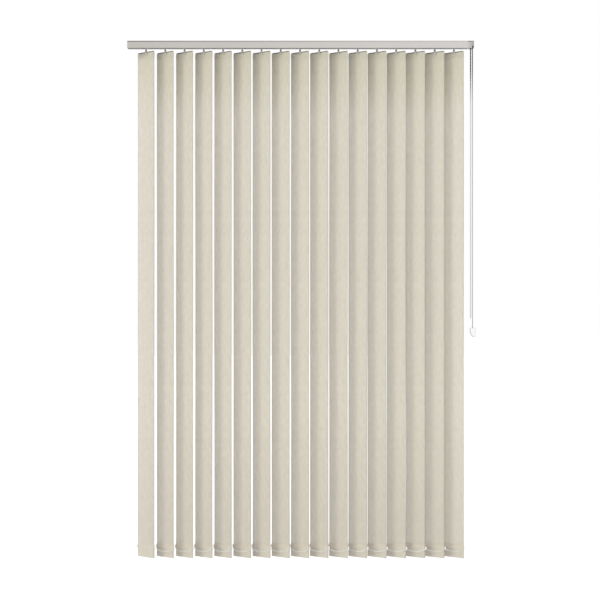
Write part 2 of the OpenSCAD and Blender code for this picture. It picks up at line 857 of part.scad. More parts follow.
module eyelet() {
    translate([0, 0, arm_top + eyelet_gap]) linear_extrude(eyelet_height) difference() {
        circle(eyelet_radius);
        circle(pin_radius + running_gap);
    }
}

// The beads that hang between two eyelets.
module swag() {
    wall = (eyelet_radius + pin_radius + running_gap) / 2;
    high = arm_top + eyelet_gap + eyelet_height / 2;
    points = [
        for (k = [0:swag_links])
            let (t = k / swag_links)
                [wall + t * (vane_pitch - 2 * wall), 0, high - 4 * swag_sag * t * (1 - t)]
    ];
    for (k = [1:swag_links])
        thread_between(points[k - 1], points[k], small_thread,
            k == 1 ? 0 : small_bead / 2, k == swag_links ? 0 : small_bead / 2);
    for (k = [1:swag_links - 1]) {
        d = points[k + 1] - points[k - 1];
        translate(points[k]) rotate([0, acos(d.z / norm(d)), atan2(d.y, d.x)]) sphere(small_bead);
    }
}

module bottom_chain(side) {
    color(cord_colour)
        for (i = [1:vane_count]) translate([pin_at(i, side).x, pin_at(i, side).y, 0]) {
            eyelet();
            if (i < vane_count) swag();
        }
}

headrail();
mounting_clips();
control_end_cap();
return_end_cap();
tilt_rod();
rod_bush();
chain_sprocket();
control_chain();
rail_cord();
draw_cord();
cord_weight();
cord_weight_pin();
cord_pulley(cord_front);  // front_cord_pulley
cord_pulley(cord_rear);  // rear_cord_pulley
cord_pulley_axle();
return_pulley();
return_pulley_axle();
anchor_link();
bottom_chain(1);  // front_chain
bottom_chain(-1);  // rear_chain
for (i = [1:vane_count]) {
    carrier(i);
    vane(i);
}
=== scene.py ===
"""Looks of the vertical blind: fabric vanes, moulded fittings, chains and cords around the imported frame."""
import math

import bmesh
import bpy
from mathutils import Matrix, Vector


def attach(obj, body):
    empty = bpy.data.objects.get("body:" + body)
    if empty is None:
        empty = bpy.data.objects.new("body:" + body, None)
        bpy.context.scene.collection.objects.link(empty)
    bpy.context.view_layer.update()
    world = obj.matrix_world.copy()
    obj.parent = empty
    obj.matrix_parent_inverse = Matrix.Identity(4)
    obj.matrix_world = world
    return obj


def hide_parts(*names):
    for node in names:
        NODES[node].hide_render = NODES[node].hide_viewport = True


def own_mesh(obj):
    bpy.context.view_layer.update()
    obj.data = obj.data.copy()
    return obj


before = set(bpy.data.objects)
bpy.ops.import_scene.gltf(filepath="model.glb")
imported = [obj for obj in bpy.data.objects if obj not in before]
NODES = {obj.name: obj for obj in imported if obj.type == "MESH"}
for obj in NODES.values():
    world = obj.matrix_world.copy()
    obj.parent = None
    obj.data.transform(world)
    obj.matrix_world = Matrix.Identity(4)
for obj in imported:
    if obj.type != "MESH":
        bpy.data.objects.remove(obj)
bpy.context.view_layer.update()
scene = bpy.context.scene
ROOT = "headrail_frame"
MM = 0.001

# Sizes repeated from the part's source, in metres.
VANE_COUNT = 17
PITCH = 78 * MM
TILT = math.radians(35)
VANE_WIDTH = 89 * MM
VANE_TOP = -42 * MM
VANE_FOOT = -2090 * MM
FABRIC = 0.45 * MM
PLAY = 0.05 * MM
HANGER_TOP = VANE_TOP - PLAY
HANGER_WIDTH, HANGER_HEIGHT, HANGER_SHEET = 84 * MM, 21 * MM, 1 * MM
HEAD_HEIGHT, HEAD_SHEET = 3.4 * MM, 2.4 * MM
FABRIC_TOP = HANGER_TOP - HEAD_HEIGHT - PLAY
TOP_POCKET, BOTTOM_POCKET, TAPER = 24 * MM, 52 * MM, 3 * MM
NOTCH_WIDTH, NOTCH_DEPTH = 12 * MM, 12 * MM
NOTCH_RUN = 8.6 * MM
BRIDGE = 5 * MM
WINDOW_WIDTH, WINDOW_HEIGHT = 9 * MM, 5 * MM
WEIGHT_WIDTH, WEIGHT_HEIGHT, WEIGHT_SHEET = 84 * MM, 40 * MM, 1.2 * MM
WEIGHT_LOW = VANE_FOOT + FABRIC + PLAY
ARM_TOP = WEIGHT_LOW + WEIGHT_HEIGHT - 4 * MM
ARM_HEIGHT = 3 * MM
PIN_X = VANE_WIDTH / 2 + 3.6 * MM
PIN_RADIUS, PIN_LENGTH, BULB, BULB_HEIGHT = 1.2 * MM, 2.5 * MM, 2.8 * MM, 9 * MM
PLATE_CORNER = 2.5 * MM
EYELET_RADIUS, EYELET_HEIGHT, EYELET_GAP = 2.7 * MM, 2.2 * MM, 0.06 * MM
EYELET_BORE = PIN_RADIUS + 0.1 * MM
SWAG_LINKS, SWAG_SAG, SMALL_BEAD, SMALL_THREAD = 13, 9.5 * MM, 1.3 * MM, 0.5 * MM
RAIL_BOTTOM = -26.6 * MM
WHEEL_LOW, WHEEL_HEIGHT, WHEEL_RADIUS, WHEEL_TEETH, TOOTH_GAP = -18.3 * MM, 5.6 * MM, 5 * MM, 10, 0.8 * MM
JOURNAL, NECK = 3.5 * MM, 2.6 * MM
HOOK_TOP, HOOK_WIDTH, HOOK_SHEET, PRONG = VANE_TOP + 9 * MM, 8 * MM, 3 * MM, 10 * MM
HOOK_SLOT = HANGER_SHEET + 0.2 * MM
HOOK_CORNER = 2.2 * MM
BARB = 1.6 * MM
ROD_Y, ROD_Z = 9.5 * MM, -15.5 * MM
CHAIN_X, CHAIN_PITCH, CHAIN_BEAD, CHAIN_THREAD = 693 * MM, 6 * MM, 2.25 * MM, 0.7 * MM
SPROCKET_BEADS, DROP_BEADS = 7, 183
CORD_X, CORD_RADIUS, CORD_JOIN, CORD_PIN_Z = 697.6 * MM, 1.25 * MM, -28 * MM, -1169 * MM
CORD_FRONT, CORD_REAR = -16 * MM, -9 * MM
CORD_LOOP = (CORD_REAR - CORD_FRONT) / 2
CORD_MIDDLE = (CORD_REAR + CORD_FRONT) / 2
CORD_WEIGHT_TOP = -1160 * MM

# Rows of faces in the cloth, and the ends and length over which its bow fades out.
POCKET_ROWS, BODY_ROWS, FOLD_ROWS, TAPER_ROWS, SIDE_COLUMNS = 4, 56, 6, 3, 5
BOW_TOP, BOW_FOOT, BOW_FADE = VANE_TOP - 30 * MM, VANE_FOOT + 60 * MM, 300 * MM


def stem_x(i):
    return (i - (VANE_COUNT + 1) / 2) * PITCH


def srgb(red, green, blue):
    """A colour given in 0 to 255, as linear values with alpha."""
    parts = [c / 255 for c in (red, green, blue)]
    return [c / 12.92 if c <= 0.04045 else ((c + 0.055) / 1.055) ** 2.4 for c in parts] + [1.0]


class Shader:
    """A material and the few node patterns that the part's finishes share."""

    def __init__(self, name, **constants):
        self.material = bpy.data.materials.new(name)
        self.material.use_nodes = True
        self.tree = self.material.node_tree
        self.tree.nodes.clear()
        self.surface = self.node("ShaderNodeBsdfPrincipled", **constants)
        self.out = self.tree.nodes.new("ShaderNodeOutputMaterial")
        self.tree.links.new(self.surface.outputs[0], self.out.inputs[0])
        self.place = self.node("ShaderNodeTexCoord").outputs["Object"]

    def node(self, kind, settings=None, **inputs):
        """Adds a node; i0, i1 and so on name its sockets by number, other keys by name."""
        made = self.tree.nodes.new(kind)
        for key, value in (settings or {}).items():
            setattr(made, key, value)
        for key, value in inputs.items():
            numbered = key[0] == "i" and key[1:].isdigit()
            socket = made.inputs[int(key[1:]) if numbered else key.replace("_", " ")]
            if isinstance(value, bpy.types.NodeSocket):
                self.tree.links.new(value, socket)
            else:
                socket.default_value = value
        return made

    def math(self, operation, a, b=0.0):
        return self.node("ShaderNodeMath", {"operation": operation}, i0=a, i1=b).outputs[0]

    def axis(self, letter):
        return self.node("ShaderNodeSeparateXYZ", i0=self.place).outputs[letter]

    def scaled(self, x, y, z):
        return self.node("ShaderNodeMapping", Vector=self.place, Scale=(x, y, z)).outputs[0]

    def noise(self, scale, detail=2.0, at=None, roughness=0.5):
        return self.node("ShaderNodeTexNoise", Vector=at or self.place, Scale=scale, Detail=detail,
                         Roughness=roughness).outputs["Fac"]

    def ramp(self, value, low, high, first=0.0, last=1.0):
        """Maps low to high onto first to last, held at both ends."""
        return self.node("ShaderNodeMapRange", {"clamp": True}, i0=value, i1=low, i2=high, i3=first,
                         i4=last).outputs[0]

    def mix(self, share, first, second):
        return self.node("ShaderNodeMix", {"data_type": "RGBA", "clamp_factor": True}, i0=share, i6=first,
                         i7=second).outputs[2]

    def colour(self, value):
        self.tree.links.new(value, self.surface.inputs["Base Color"])

    def rough(self, value):
        self.tree.links.new(value, self.surface.inputs["Roughness"])

    def through(self, share, colour):
        """Lets a share of the light pass through, scattered."""
        glow = self.node("ShaderNodeBsdfTranslucent", Color=colour)
        both = self.node("ShaderNodeMixShader", i0=share, i1=self.surface.outputs[0], i2=glow.outputs[0])
        self.tree.links.new(both.outputs[0], self.out.inputs[0])

    def bump(self, height, distance, strength=1.0):
        bump = self.node("ShaderNodeBump", Height=height, Distance=distance, Strength=strength)
        self.tree.links.new(bump.outputs[0], self.surface.inputs["Normal"])


# Cloth: thread pitches, half widths of the weld line, and the heights over which painted shade changes its tone
# near the top and towards the foot.
WARP_PITCH, WEFT_PITCH = 0.9 * MM, 1.1 * MM
WELD_EDGE = (1.2 * MM, 2.0 * MM)
TOP_SHADE_ZONE, FOOT_SHADE_ZONE = (-0.29, -0.12), (-1.5, -2.03)
# Strands: the heights over which painted shade near the rail turns them from pale to dark.
STRAND_SHADE_ZONE = (-0.25, -0.115)
# Tones that several coatings share: scuffs, and painted shade in the top recess and in the channel under the
# rail.
SCUFF_TONE, GROOVE_SHADE_TONE, CHANNEL_SHADE_TONE = srgb(176, 172, 168), srgb(70, 68, 66), srgb(46, 45, 44)


def fabric_finish():
    """Woven cloth: threads, slubs and mottle, with warm painted shade near the top, painted shade towards the
    foot and painted light that makes the bottom pocket paler.
    """
    s = Shader("woven_fabric", Sheen_Weight=0.12, Sheen_Roughness=0.5, Specular_IOR_Level=0.25)
    z = s.axis("Z")
    wander = s.math("MULTIPLY", s.noise(60, 2.0), 5.0)
    warp_place = s.math("ADD", s.math("MULTIPLY", s.axis("X"), 2 * math.pi / WARP_PITCH), wander)
    weft_place = s.math("ADD", s.math("MULTIPLY", z, 2 * math.pi / WEFT_PITCH), wander)
    over = s.math("MULTIPLY", s.math("SINE", s.math("MULTIPLY", warp_place, 0.5)),
                  s.math("SINE", s.math("MULTIPLY", weft_place, 0.5)))
    thread = s.math("MAXIMUM", s.math("ADD", s.math("SINE", warp_place), over),
                    s.math("SUBTRACT", s.math("SINE", weft_place), over))
    weave = s.ramp(thread, -0.6, 1.7)
    raised = s.ramp(weave, 0.1, 0.75)
    slub_up = s.noise(1.0, 3.0, s.scaled(1400, 1400, 26), 0.6)
    slub_over = s.noise(1.0, 3.0, s.scaled(34, 34, 1100), 0.6)
    slub = s.math("ADD", s.ramp(slub_up, 0.35, 0.75), s.ramp(slub_over, 0.4, 0.75))
    mottle = s.noise(1.0, 3.0, s.scaled(75, 75, 38), 0.6)
    light = s.mix(s.ramp(mottle, 0.3, 0.7), srgb(245, 241, 231), srgb(250, 246, 236))
    dark = s.mix(s.ramp(slub, 0.2, 1.6), srgb(232, 227, 214), srgb(240, 235, 223))
    cloth = s.mix(raised, dark, light)
    cloth = s.mix(s.ramp(mottle, 0.32, 0.68, 0.2, 0.0), cloth, srgb(205, 196, 176))
    # Painted shade: warmer and darker near the top, darker towards the foot; the same masks let less light
    # through the cloth near the top and more towards the foot.
    top_shade, foot_shade = s.ramp(z, *TOP_SHADE_ZONE), s.ramp(z, *FOOT_SHADE_ZONE)
    cloth = s.mix(s.math("MULTIPLY", top_shade, 0.2), cloth, srgb(183, 173, 108))
    cloth = s.mix(s.math("MULTIPLY", foot_shade, 0.11), cloth, srgb(170, 160, 138))
    weld_high = VANE_FOOT + BOTTOM_POCKET + TAPER
    from_weld = s.math("ABSOLUTE", s.math("SUBTRACT", z, weld_high - 0.5 * TAPER))
    weld = s.ramp(from_weld, *WELD_EDGE, 1.0, 0.0)
    # Painted light: the bottom pocket is painted paler below the weld and lets a little less light through; the
    # weld line itself is a paler seam.
    pocket_light = s.ramp(z, weld_high - TAPER, weld_high - 2 * TAPER, 0.0, 0.7)
    pale = s.mix(raised, srgb(248, 242, 228), srgb(254, 250, 239))
    cloth = s.mix(s.math("MAXIMUM", s.math("MULTIPLY", weld, 0.55), pocket_light), cloth, pale)
    s.colour(cloth)
    share = s.math("ADD", s.ramp(top_shade, 0.0, 1.0, 0.5, 0.26), s.math("MULTIPLY", foot_shade, 0.07))
    share = s.math("SUBTRACT", share, s.math("MULTIPLY", pocket_light, 0.08))
    s.through(share, s.mix(0.5, cloth, srgb(245, 244, 245)))
    s.rough(s.ramp(s.math("SUBTRACT", weave, weld), -0.6, 1.0, 0.62, 0.94))
    s.bump(s.math("ADD", s.math("MULTIPLY", weave, 0.75), s.math("MULTIPLY", slub, 0.25)), 0.22 * MM, 0.7)
    return s.material


def coated_finish(name, low, high, grain, rough, groove_shade=None, foot=None, light_and_shade_along_x=None, side=None, under=None,
                  **constants):
    """Satin paint or moulding: slow drift of tone, fine grain and faint scuffs.

    Painted shade may lie in the top recess, on the sides or in the channel of the underside, and painted light
    may ramp along x; another tone may lie below a height.
    """
    s = Shader(name, **constants)
    speck = s.noise(grain, 2.0)
    tone = s.mix(s.ramp(s.noise(5, 3.0), 0.3, 0.7), low, high)
    scuff = s.ramp(s.noise(1.0, 4.0, s.scaled(9, 160, 160), 0.65), 0.62, 0.8)
    tone = s.mix(s.math("MULTIPLY", scuff, 0.10), tone, SCUFF_TONE)
    # Painted shade in the top recess, on the outer faces.
    if groove_shade:
        face, top, low_edge, depth = groove_shade
        z = s.axis("Z")
        groove_shade_mask = s.math("MULTIPLY", s.math("LESS_THAN", z, top), s.math("GREATER_THAN", z, low_edge))
        groove_shade_mask = s.math("MULTIPLY", groove_shade_mask, s.math("GREATER_THAN", s.math("ABSOLUTE", s.axis("Y")), face))
        tone = s.mix(s.math("MULTIPLY", groove_shade_mask, depth), tone, GROOVE_SHADE_TONE)
    # Painted light along x: a ramp towards another tone.
    if light_and_shade_along_x:
        start, end, share, light_and_shade_tone = light_and_shade_along_x
        tone = s.mix(s.ramp(s.axis("X"), start, end, 0.0, share), tone, light_and_shade_tone)
    facing = s.node("ShaderNodeSeparateXYZ", i0=s.node("ShaderNodeTexCoord").outputs["Normal"]).outputs
    # Painted shade on faces that do not face along y.
    if side:
        tone = s.mix(s.ramp(s.math("ABSOLUTE", facing["Y"]), 0.86, 0.998), side, tone)
    # Painted shade on down-facing faces in the channel between front and back.
    if under:
        front, back, depth = under
        channel_shade_share = s.ramp(s.axis("Y"), front, back, depth, 0.0)
        tone = s.mix(s.math("MULTIPLY", s.ramp(facing["Z"], -0.5, -0.9), channel_shade_share), tone, CHANNEL_SHADE_TONE)
    if foot:
        height, foot_tone = foot
        tone = s.mix(s.ramp(s.axis("Z"), height - 0.6 * MM, height), foot_tone, tone)
    s.colour(tone)
    s.rough(s.ramp(s.math("ADD", speck, scuff), 0.3, 1.4, rough - 0.06, rough + 0.12))
    s.bump(speck, 0.05 * MM, 0.35)
    return s.material


def metal_finish(name, low, high, stretch):
    """Drawn or rolled metal with fine lines along its length."""
    s = Shader(name, Metallic=1.0)
    lines = s.noise(1.0, 3.0, s.scaled(*stretch), 0.6)
    patch = s.noise(40, 3.0)
    s.colour(s.mix(s.math("MULTIPLY", s.ramp(lines, 0.3, 0.7), s.ramp(patch, 0.2, 0.8)), low, high))
    s.rough(s.ramp(lines, 0.3, 0.75, 0.28, 0.46))
    s.bump(lines, 0.03 * MM, 0.4)
    return s.material


def strand_finish(name, rail_shade_colour, low_colour, rough, thread=None):
    """A hanging strand: dark with painted shade near the rail and pale further down."""
    s = Shader(name, Specular_IOR_Level=0.2)
    # Painted shade: the strand and its flecks darken towards the rail.
    fall = s.ramp(s.axis("Z"), *STRAND_SHADE_ZONE)
    grain = s.noise(700, 2.0)
    tone = s.mix(fall, low_colour, rail_shade_colour)
    fleck = s.mix(fall, srgb(236, 238, 240), srgb(40, 41, 43))
    s.colour(s.mix(s.math("MULTIPLY", s.ramp(grain, 0.35, 0.7), 0.18), tone, fleck))
    if thread:
        y, z, turns = s.axis("Y"), s.axis("Z"), 2 * math.pi / thread
        left = s.math("SINE", s.math("MULTIPLY", s.math("ADD", z, y), turns))
        right = s.math("SINE", s.math("MULTIPLY", s.math("SUBTRACT", z, y), turns))
        s.bump(s.math("MAXIMUM", left, right), 0.12 * MM, 0.8)
    else:
        s.bump(grain, 0.03 * MM, 0.3)
    s.rough(s.ramp(grain, 0.3, 0.7, rough - 0.06, rough + 0.08))
    return s.material


FABRIC_LOOK = fabric_finish()
# Painted shade in the rail's top recess: its face, top, foot and depth of tone. Painted shade in the channel
# under the rail: front, back and depth.
GROOVE_SHADE = (20.8 * MM, -1.8 * MM, -5.8 * MM, 0.6)
CHANNEL_SHADE = (12 * MM, 17 * MM, 0.72)
# Painted light: the rail's coat is lighter towards +x.
RAIL_LOOK = coated_finish("powder_coat", srgb(193, 189, 182), srgb(199, 193, 187), 1500, 0.42, GROOVE_SHADE,
                          light_and_shade_along_x=(-0.7, 0.7, 1.0, srgb(214, 209, 205)), under=CHANNEL_SHADE)
RETURN_LOOK = coated_finish("return_cap_moulding", srgb(193, 189, 182), srgb(199, 194, 188), 900, 0.48, GROOVE_SHADE,
                            under=CHANNEL_SHADE)
# Painted shade: the control cap's coat darkens towards its outer end.
CAP_LOOK = coated_finish("control_cap_moulding", srgb(212, 208, 203), srgb(216, 212, 207), 900, 0.48, GROOVE_SHADE,
                         light_and_shade_along_x=(0.672, 0.702, 0.8, srgb(158, 155, 154)))
MOULDED_LOOK = coated_finish("pale_moulding", srgb(218, 218, 214), srgb(228, 228, 225), 800, 0.45)
STEM_LOOK = coated_finish("khaki_moulding", srgb(176, 172, 158), srgb(188, 184, 170), 800, 0.4,
                          foot=(VANE_TOP - 0.5 * MM, srgb(214, 209, 196)))
HANGER_LOOK = coated_finish("hanger_moulding", srgb(96, 92, 82), srgb(106, 102, 91), 800, 0.45,
                            foot=(FABRIC_TOP, srgb(208, 202, 187)))
CLIP_LOOK = coated_finish("white_moulding", srgb(254, 254, 252), srgb(255, 255, 254), 900, 0.3,
                          Coat_Weight=1.0, Coat_Roughness=0.2, IOR=1.6)
STEEL_LOOK = metal_finish("zinc_plate", srgb(164, 167, 170), srgb(196, 198, 201), (30, 900, 900))
ROD_LOOK = metal_finish("drawn_rod", srgb(176, 178, 181), srgb(206, 207, 209), (6, 1400, 1400))
# The chain and cord get painted shade near the rail; their first colour is the shaded one.
CHAIN_LOOK = strand_finish("chain_beads", srgb(14, 15, 17), srgb(234, 236, 238), 0.45)
CORD_LOOK = strand_finish("braided_cord", srgb(3, 3, 4), srgb(176, 179, 182), 0.75, 1.3 * MM)
SMALL_CHAIN_LOOK = coated_finish("small_beads", srgb(246, 244, 239), srgb(252, 250, 246), 1200, 0.3)
# The weight's sides get painted shade.
CORD_WEIGHT_LOOK = coated_finish("weight_moulding", srgb(253, 253, 252), srgb(254, 254, 254), 700, 0.32,
                                 side=srgb(162, 163, 165))


class Solid:
    """Collects the closed forms of one piece."""

    def __init__(self):
        self.bm = bmesh.new()

    def ring(self, centre, first, second, radius, count):
        turn = 2 * math.pi / count
        return [self.bm.verts.new(centre + radius * (math.cos(k * turn) * first + math.sin(k * turn) * second))
                for k in range(count)]

    def join(self, low, high):
        n = len(low)
        for k in range(n):
            self.bm.faces.new((low[k], low[(k + 1) % n], high[(k + 1) % n], high[k]))

    def lathe(self, profile, count, at=(0, 0, 0), axis=Vector((0, 0, 1))):
        """Turns (radius, height) points about an axis across x; the ends are capped."""
        centre = Vector(at)
        first = Vector((1, 0, 0))
        rings = [self.ring(centre + z * axis, first, axis.cross(first), r, count) for r, z in profile]
        for low, high in zip(rings, rings[1:]):
            self.join(low, high)
        self.bm.faces.new(rings[0])
        self.bm.faces.new(rings[-1])

    def washer(self, inner, outer, low, high, edge, count, at):
        """A ring with eased edges, as a closed band."""
        section = [(inner, low + edge), (inner + edge, low), (outer - edge, low), (outer, low + edge),
                   (outer, high - edge), (outer - edge, high), (inner + edge, high), (inner, high - edge)]
        centre = Vector(at)
        rings = [self.ring(centre + Vector((0, 0, z)), Vector((1, 0, 0)), Vector((0, 1, 0)), r, count)
                 for r, z in section]
        for k in range(len(rings)):
            self.join(rings[k], rings[(k + 1) % len(rings)])

    def sweep(self, stations, side, count, closed=False):
        """A tube through (centre, tangent, radius) stations, with one fixed side direction."""
        rings = [self.ring(c, side, t.cross(side).normalized(), r, count) for c, t, r in stations]
        for low, high in zip(rings, rings[1:]):
            self.join(low, high)
        if closed:
            self.join(rings[-1], rings[0])
        else:
            self.bm.faces.new(rings[0])
            self.bm.faces.new(rings[-1])

    def plate(self, loops, thickness, edge, shift=0.0):
        """A plate with eased edges, moved along y; its (x, z) outlines are the outer one, then the holes."""
        curve = bpy.data.curves.new("plate", "CURVE")
        curve.dimensions = "2D"
        curve.fill_mode = "BOTH"
        for loop in loops:
            spline = curve.splines.new("POLY")
            spline.points.add(len(loop) - 1)
            for point, (x, z) in zip(spline.points, loop):
                point.co = (x, z, 0, 1)
            spline.use_cyclic_u = True
        curve.extrude = thickness / 2 - edge
        curve.bevel_depth = edge
        curve.bevel_resolution = 2
        curve.offset = -edge
        holder = bpy.data.objects.new("plate", curve)
        scene.collection.objects.link(holder)
        bpy.context.view_layer.update()
        made = bpy.data.meshes.new_from_object(holder.evaluated_get(bpy.context.evaluated_depsgraph_get()))
        made.transform(Matrix.Translation((0, shift, 0)) @ Matrix.Rotation(math.pi / 2, 4, "X"))
        part = bmesh.new()
        part.from_mesh(made)
        bmesh.ops.remove_doubles(part, verts=part.verts, dist=1e-6)
        part.to_mesh(made)
        part.free()
        self.bm.from_mesh(made)
        bpy.data.objects.remove(holder)
        bpy.data.curves.remove(curve)
        bpy.data.meshes.remove(made)

    def mesh(self, name, look, angle=40):
        bmesh.ops.recalc_face_normals(self.bm, faces=self.bm.faces)
        limit = math.radians(angle)
        for face in self.bm.faces:
            face.smooth = True
        for edge in self.bm.edges:
            edge.smooth = not (edge.is_manifold and edge.calc_face_angle(0) > limit)
        made = bpy.data.meshes.new(name)
        self.bm.to_mesh(made)
        self.bm.free()
        made.materials.append(look)
        return made


def place(name, data, body, at=Matrix.Identity(4)):
    """Makes a piece from a mesh or curve, riding on a body."""
    piece = bpy.data.objects.new(name, data)
    scene.collection.objects.link(piece)
    piece.matrix_world = at
    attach(piece, body)
    return piece


def rounded(x, z, width, height, radius, steps=5):
    """The outline of a rectangle with round corners, about its middle."""
    points = []
    for k, (sx, sz) in enumerate(((1, 1), (-1, 1), (-1, -1), (1, -1))):
        for j in range(steps + 1):
            angle = (k + j / steps) * math.pi / 2
            points.append((x + sx * (width / 2 - radius) + radius * math.cos(angle),
                           z + sz * (height / 2 - radius) + radius * math.sin(angle)))
    return points


def unit(value):
    return max(0.0, min(1.0, value))


def spread(low, high, steps):
    """Evenly spaced values from low to high, both included."""
    return [low + (high - low) * k / steps for k in range(steps + 1)]


def straight(out, start, end, rows):
    """Points of a straight run of cloth, as (normal, height)."""
    return [(out, z) for z in spread(start, end, rows)]


def taper(first, last, start, end):
    """Points of a run that moves from one distance off the middle to another, without its first."""
    return list(zip(spread(first, last, TAPER_ROWS), spread(start, end, TAPER_ROWS)))[1:]


def fabric_paths():
    """The cloth's two runs as (normal, height) points: front and fold, and the top pocket's back."""
    top_out = HANGER_SHEET / 2 + PLAY + FABRIC / 2
    low_out = WEIGHT_SHEET / 2 + PLAY + FABRIC / 2
    notch_row = FABRIC_TOP - NOTCH_RUN
    pocket_low = VANE_TOP - TOP_POCKET
    weld = VANE_FOOT + BOTTOM_POCKET
    fold = VANE_FOOT + FABRIC / 2 + low_out
    front = straight(-top_out, FABRIC_TOP, notch_row, POCKET_ROWS)
    front += straight(-top_out, notch_row, pocket_low, POCKET_ROWS)[1:]
    front += taper(-top_out, 0, pocket_low, pocket_low - TAPER)
    front += straight(0, pocket_low - TAPER, weld + TAPER, BODY_ROWS)[1:]
    front += taper(0, -low_out, weld + TAPER, weld)
    front += straight(-low_out, weld, fold, FOLD_ROWS)[1:]
    front += [(-low_out * math.cos(a), fold - low_out * math.sin(a))
              for a in spread(0, math.pi, FOLD_ROWS)[1:]]
    front += straight(low_out, fold, weld, FOLD_ROWS)[1:]
    front += taper(low_out, FABRIC, weld, weld + TAPER)
    back = straight(top_out, FABRIC_TOP, notch_row, POCKET_ROWS)
    back += straight(top_out, notch_row, pocket_low, POCKET_ROWS)[1:]
    back += taper(top_out, FABRIC, pocket_low, pocket_low - TAPER)
    return front, back


def fabric_length():
    front, back = fabric_paths()
    return sum(math.dist(a, b) for run in (front, back) for a, b in zip(run, run[1:]))


def fabric_mesh(i):
    """One vane's cloth: a thin sheet with a slight bow of its own, notched at the hook."""
    half = VANE_WIDTH / 2
    notch = NOTCH_WIDTH / 2
    columns = spread(-half, -notch, SIDE_COLUMNS) + [0.0] + spread(notch, half, SIDE_COLUMNS)
    phase = 2.4 * i
    cup = (0.55 + 0.35 * math.sin(1.7 * i)) * MM
    sway = (0.5 + 0.3 * math.cos(2.9 * i)) * MM
    notch_low = VANE_TOP - NOTCH_DEPTH
    bm = bmesh.new()
    for run in fabric_paths():
        rows = []
        for n, z in run:
            free = unit((BOW_TOP - z) / BOW_FADE) * unit((z - BOW_FOOT) / BOW_FADE)
            ease = free * free * (3 - 2 * free)
            row = []
            for t in columns:
                across = 2 * t / VANE_WIDTH
                bow = cup * (across * across - 0.33) * math.sin(1.3 * z + phase)
                bow += sway * math.sin(4.1 * z + 1.3 * phase + 0.5 * across)
                row.append(bm.verts.new((t, n + ease * bow, z)))
            rows.append(row)
        for high, low in zip(rows, rows[1:]):
            for k in range(len(columns) - 1):
                middle = (columns[k] + columns[k + 1]) / 2
                if abs(middle) < notch and (high[0].co.z + low[0].co.z) / 2 > notch_low:
                    continue
                bm.faces.new((high[k], high[k + 1], low[k + 1], low[k]))
    bmesh.ops.delete(bm, geom=[v for v in bm.verts if not v.link_faces], context="VERTS")
    bmesh.ops.recalc_face_normals(bm, faces=bm.faces)
    for face in bm.faces:
        face.smooth = True
    made = bpy.data.meshes.new(f"fabric_{i:02d}")
    bm.to_mesh(made)
    bm.free()
    made.materials.append(FABRIC_LOOK)
    return made


def stem_mesh():
    s = Solid()
    edge = 0.25 * MM
    outline = []
    for k in range(WHEEL_TEETH):
        middle = 2 * math.pi * k / WHEEL_TEETH
        for a in spread(middle + 1.5 * math.pi, middle + 0.5 * math.pi, 4):
            outline.append((WHEEL_RADIUS * math.cos(middle) + TOOTH_GAP * math.cos(a),
                            WHEEL_RADIUS * math.sin(middle) + TOOTH_GAP * math.sin(a)))
    top, low = [], []
    for x, y in outline:
        top.append(s.bm.verts.new((x, y, WHEEL_LOW + WHEEL_HEIGHT)))
        low.append(s.bm.verts.new((x, y, WHEEL_LOW)))
    s.join(low, top)
    s.bm.faces.new(top)
    s.bm.faces.new(low)
    s.lathe([(JOURNAL - edge, RAIL_BOTTOM), (JOURNAL, RAIL_BOTTOM + edge), (JOURNAL, WHEEL_LOW + edge)], 24)
    waist = NECK - 0.35 * MM
    neck_low = HOOK_TOP - HOOK_SHEET
    s.lathe([(NECK - edge, neck_low), (NECK, neck_low + edge), (NECK, HOOK_TOP + edge),
             (waist, HOOK_TOP + 1.6 * MM), (waist, RAIL_BOTTOM - 1.4 * MM), (NECK, RAIL_BOTTOM - 0.2 * MM),
             (NECK, RAIL_BOTTOM + edge)], 24)
    shoulder = HOOK_TOP - VANE_TOP
    s.plate([rounded(0, (HOOK_TOP + VANE_TOP) / 2 + 0.4 * MM, HOOK_WIDTH, shoulder - 0.8 * MM, HOOK_CORNER)],
            HOOK_SHEET, 0.4 * MM)
    leaf = (HOOK_SHEET - HOOK_SLOT) / 2
    for side in (-1, 1):
        s.plate([rounded(0, VANE_TOP - PRONG / 2 + 1.0 * MM, HOOK_WIDTH, PRONG + 2.0 * MM, HOOK_CORNER)],
                leaf, 0.2 * MM, side * (HOOK_SLOT + leaf) / 2)
    s.lathe([(BARB - edge, -HOOK_SHEET / 2), (BARB, edge - HOOK_SHEET / 2), (BARB, HOOK_SHEET / 2 - edge),
             (BARB - edge, HOOK_SHEET / 2)], 16, (0, 0, HANGER_TOP - BRIDGE - BARB), Vector((0, 1, 0)))
    return s.mesh("stem", STEM_LOOK)


def hanger_mesh():
    s = Solid()
    middle = HANGER_TOP - HANGER_HEIGHT / 2
    window = HANGER_TOP - BRIDGE - WINDOW_HEIGHT / 2
    s.plate([rounded(0, middle, HANGER_WIDTH, HANGER_HEIGHT, PLATE_CORNER),
             rounded(0, window, WINDOW_WIDTH, WINDOW_HEIGHT, 0.6 * MM)], HANGER_SHEET, 0.15 * MM)
    bar = (HANGER_WIDTH - NOTCH_WIDTH) / 2
    for side in (-1, 1):
        centre = side * (NOTCH_WIDTH + bar) / 2
        s.plate([rounded(centre, HANGER_TOP - HEAD_HEIGHT / 2, bar, HEAD_HEIGHT, 1.2 * MM)], HEAD_SHEET, 0.5 * MM)
    return s.mesh("hanger", HANGER_LOOK)


